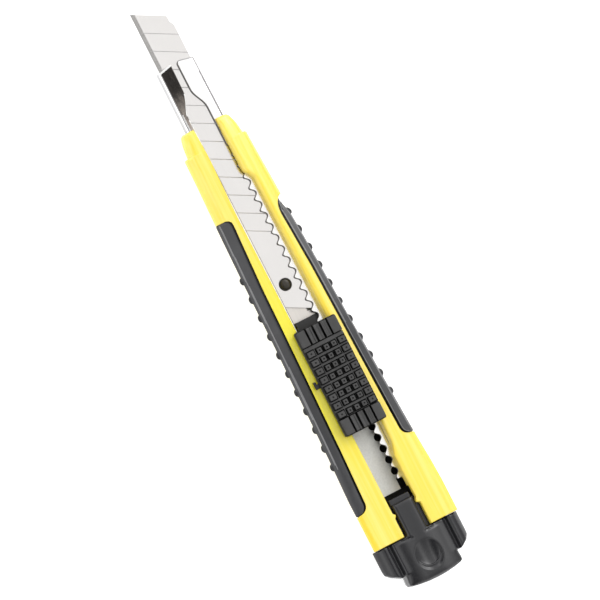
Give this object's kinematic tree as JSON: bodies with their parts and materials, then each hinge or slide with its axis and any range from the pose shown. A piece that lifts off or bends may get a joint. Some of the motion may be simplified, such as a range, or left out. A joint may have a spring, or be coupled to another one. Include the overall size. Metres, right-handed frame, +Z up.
{
  "type": "snap-off utility knife",
  "caption": "Slim snap-off utility knife with a ribbed soft-grip handle, notched steel blade channel, sliding thumb pad and pull-off end cap.",
  "frame": {"origin": "centre of the bounding box's bottom face, with the knife lying on its back at rest", "axes": "+X along the knife to the blade's tip, +Y to the blade's cutting edge, +Z up out of the slider's face"},
  "size_m": [0.1588, 0.0242, 0.0115],
  "materials": {
    "yellow_shell": "glossy moulded ABS",
    "black_grip": "satin soft-touch rubber",
    "stainless_strip": "rolled and lightly brushed",
    "blade_steel": "fine ground",
    "dark_steel": "blackened, domed",
    "black_plastic": "moulded nylon",
    "spring_steel": "rolled",
    "black_pad": "matt moulded rubber",
    "cap_plastic": "satin moulded plastic"
  },
  "bodies": {
    "handle": {"handle_body": "yellow_shell", "left_grip": "black_grip", "right_grip": "black_grip", "blade_channel": "stainless_strip"},
    "carriage": {"slider_block": "black_plastic", "carrier_plate": "stainless_strip", "blade_pin": "dark_steel", "blade": "blade_steel", "lock_spring": "spring_steel", "thumb_pad": "black_pad"},
    "cap": {"end_cap": "cap_plastic"}
  },
  "joints": [
    {"name": "blade_slide", "type": "slide", "parent": "handle", "child": "carriage", "axis": [1, 0, 0], "range_m": [-0.01854, 0.04017], "deforming": ["lock_spring"]},
    {"name": "cap_pull", "type": "slide", "parent": "handle", "child": "cap", "axis": [-1, 0, 0], "range_m": [0, 0.03]}
  ]
}
